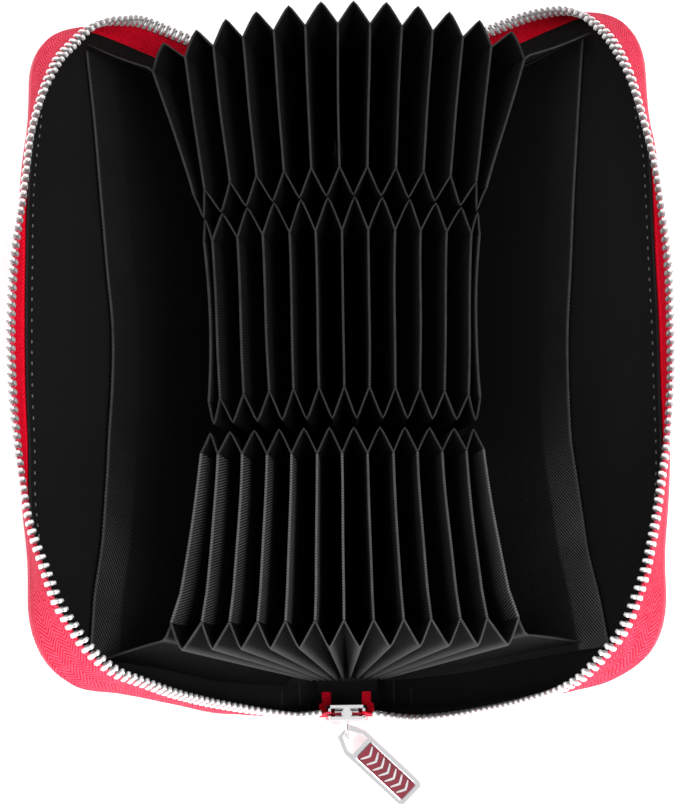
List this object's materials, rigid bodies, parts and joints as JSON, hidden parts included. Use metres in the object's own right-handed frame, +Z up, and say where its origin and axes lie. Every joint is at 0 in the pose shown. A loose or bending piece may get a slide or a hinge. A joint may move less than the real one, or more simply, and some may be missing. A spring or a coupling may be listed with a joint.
{
  "type": "accordion card wallet",
  "caption": "Zip-round wallet opened on its spine, with a pleated accordion of card slots between two lined covers, slip pockets, a toothed zip, slider and pull tab.",
  "frame": {"origin": "centre of the spine leather's underside, which the open wallet stands on", "axes": "+X across the wallet to the right cover, +Y along the spine away from the zip slider, +Z up"},
  "size_m": [0.1792, 0.2279, 0.0914],
  "materials": {
    "red_leather": "pebbled imitation leather",
    "red_zip_tape": "herringbone woven tape",
    "stiffener_board": "plain grey board",
    "zip_metal": "bright nickel",
    "pull_inlay": "dark red enamel",
    "black_twill": "fine twill"
  },
  "bodies": {
    "spine": {"spine_leather": "red_leather", "spine_lining": "black_twill", "accordion_base": "black_twill", "leaf_06": "black_twill", "pocket_gusset_0": "black_twill", "pocket_gusset_1": "black_twill", "pocket_gusset_2": "black_twill", "pocket_gusset_3": "black_twill", "pocket_gusset_4": "black_twill", "pocket_gusset_5": "black_twill", "side_gusset_left_near": "black_twill", "side_gusset_left_far": "black_twill", "side_gusset_right_near": "black_twill", "side_gusset_right_far": "black_twill", "zip_end_tape": "red_zip_tape", "zip_bottom_stop": "zip_metal", "left_zip_leg": "zip_metal", "right_zip_leg": "zip_metal"},
    "left_cover": {"left_cover_leather": "red_leather", "left_cover_board": "stiffener_board", "left_cover_lining": "black_twill", "left_slip_pocket": "black_twill", "left_zip_tape": "red_zip_tape", "left_zip_chain": "zip_metal", "left_top_stop": "zip_metal"},
    "right_cover": {"right_cover_leather": "red_leather", "right_cover_board": "stiffener_board", "right_cover_lining": "black_twill", "right_slip_pocket": "black_twill", "right_zip_tape": "red_zip_tape", "right_zip_chain": "zip_metal", "right_top_stop": "zip_metal"},
    "leaf_00": {"leaf_00": "black_twill"},
    "leaf_01": {"leaf_01": "black_twill"},
    "leaf_02": {"leaf_02": "black_twill"},
    "leaf_03": {"leaf_03": "black_twill"},
    "leaf_04": {"leaf_04": "black_twill"},
    "leaf_05": {"leaf_05": "black_twill"},
    "leaf_07": {"leaf_07": "black_twill"},
    "leaf_08": {"leaf_08": "black_twill"},
    "leaf_09": {"leaf_09": "black_twill"},
    "leaf_10": {"leaf_10": "black_twill"},
    "leaf_11": {"leaf_11": "black_twill"},
    "leaf_12": {"leaf_12": "black_twill"},
    "zip_slider": {"zip_slider": "zip_metal"},
    "zip_pull": {"pull_frame": "zip_metal", "pull_inlay": "pull_inlay"}
  },
  "joints": [
    {"name": "left_cover_hinge", "type": "hinge", "parent": "spine", "child": "left_cover", "pos_m": [-0.01, 0, 0.0052], "axis": [0, 1, 0], "range_deg": [0, 45], "deforming": ["side_gusset_left_near", "side_gusset_left_far", "left_zip_leg", "pocket_gusset_0", "pocket_gusset_1", "pocket_gusset_2", "pocket_gusset_3", "pocket_gusset_4", "pocket_gusset_5"]},
    {"name": "right_cover_hinge", "type": "hinge", "parent": "spine", "child": "right_cover", "pos_m": [0.01, 0, 0.0052], "axis": [0, -1, 0], "range_deg": [0, 45], "deforming": ["side_gusset_right_near", "side_gusset_right_far", "right_zip_leg", "pocket_gusset_0", "pocket_gusset_1", "pocket_gusset_2", "pocket_gusset_3", "pocket_gusset_4", "pocket_gusset_5"]},
    {"name": "leaf_00_fold", "type": "hinge", "parent": "spine", "child": "leaf_00", "pos_m": [-0.009, 0, 0.00344], "axis": [0, 1, 0], "range_deg": [0, 24]},
    {"name": "leaf_01_fold", "type": "hinge", "parent": "spine", "child": "leaf_01", "pos_m": [-0.0075, 0, 0.00344], "axis": [0, 1, 0], "range_deg": [0, 20]},
    {"name": "leaf_02_fold", "type": "hinge", "parent": "spine", "child": "leaf_02", "pos_m": [-0.006, 0, 0.00344], "axis": [0, 1, 0], "range_deg": [0, 16]},
    {"name": "leaf_03_fold", "type": "hinge", "parent": "spine", "child": "leaf_03", "pos_m": [-0.0045, 0, 0.00344], "axis": [0, 1, 0], "range_deg": [0, 12]},
    {"name": "leaf_04_fold", "type": "hinge", "parent": "spine", "child": "leaf_04", "pos_m": [-0.003, 0, 0.00344], "axis": [0, 1, 0], "range_deg": [0, 8]},
    {"name": "leaf_05_fold", "type": "hinge", "parent": "spine", "child": "leaf_05", "pos_m": [-0.0015, 0, 0.00344], "axis": [0, 1, 0], "range_deg": [0, 4]},
    {"name": "leaf_07_fold", "type": "hinge", "parent": "spine", "child": "leaf_07", "pos_m": [0.0015, 0, 0.00344], "axis": [0, -1, 0], "range_deg": [0, 4]},
    {"name": "leaf_08_fold", "type": "hinge", "parent": "spine", "child": "leaf_08", "pos_m": [0.003, 0, 0.00344], "axis": [0, -1, 0], "range_deg": [0, 8]},
    {"name": "leaf_09_fold", "type": "hinge", "parent": "spine", "child": "leaf_09", "pos_m": [0.0045, 0, 0.00344], "axis": [0, -1, 0], "range_deg": [0, 12]},
    {"name": "leaf_10_fold", "type": "hinge", "parent": "spine", "child": "leaf_10", "pos_m": [0.006, 0, 0.00344], "axis": [0, -1, 0], "range_deg": [0, 16]},
    {"name": "leaf_11_fold", "type": "hinge", "parent": "spine", "child": "leaf_11", "pos_m": [0.0075, 0, 0.00344], "axis": [0, -1, 0], "range_deg": [0, 20]},
    {"name": "leaf_12_fold", "type": "hinge", "parent": "spine", "child": "leaf_12", "pos_m": [0.009, 0, 0.00344], "axis": [0, -1, 0], "range_deg": [0, 24]},
    {"name": "zip_slide", "type": "slide", "parent": "spine", "child": "zip_slider", "axis": [0, 0, 1], "range_m": [0, 0.065]},
    {"name": "pull_swing", "type": "hinge", "parent": "zip_slider", "child": "zip_pull", "pos_m": [0, -0.1022, 0.0075], "axis": [-1, 0, 0], "range_deg": [0, 100]}
  ],
  "couplings": [
    {"joint": "leaf_00_fold", "follows": "left_cover_hinge", "ratio": 0.53333},
    {"joint": "leaf_01_fold", "follows": "left_cover_hinge", "ratio": 0.44444},
    {"joint": "leaf_02_fold", "follows": "left_cover_hinge", "ratio": 0.35556},
    {"joint": "leaf_03_fold", "follows": "left_cover_hinge", "ratio": 0.26667},
    {"joint": "leaf_04_fold", "follows": "left_cover_hinge", "ratio": 0.17778},
    {"joint": "leaf_05_fold", "follows": "left_cover_hinge", "ratio": 0.088888},
    {"joint": "leaf_07_fold", "follows": "right_cover_hinge", "ratio": 0.088888},
    {"joint": "leaf_08_fold", "follows": "right_cover_hinge", "ratio": 0.17778},
    {"joint": "leaf_09_fold", "follows": "right_cover_hinge", "ratio": 0.26667},
    {"joint": "leaf_10_fold", "follows": "right_cover_hinge", "ratio": 0.35556},
    {"joint": "leaf_11_fold", "follows": "right_cover_hinge", "ratio": 0.44444},
    {"joint": "leaf_12_fold", "follows": "right_cover_hinge", "ratio": 0.53333}
  ]
}
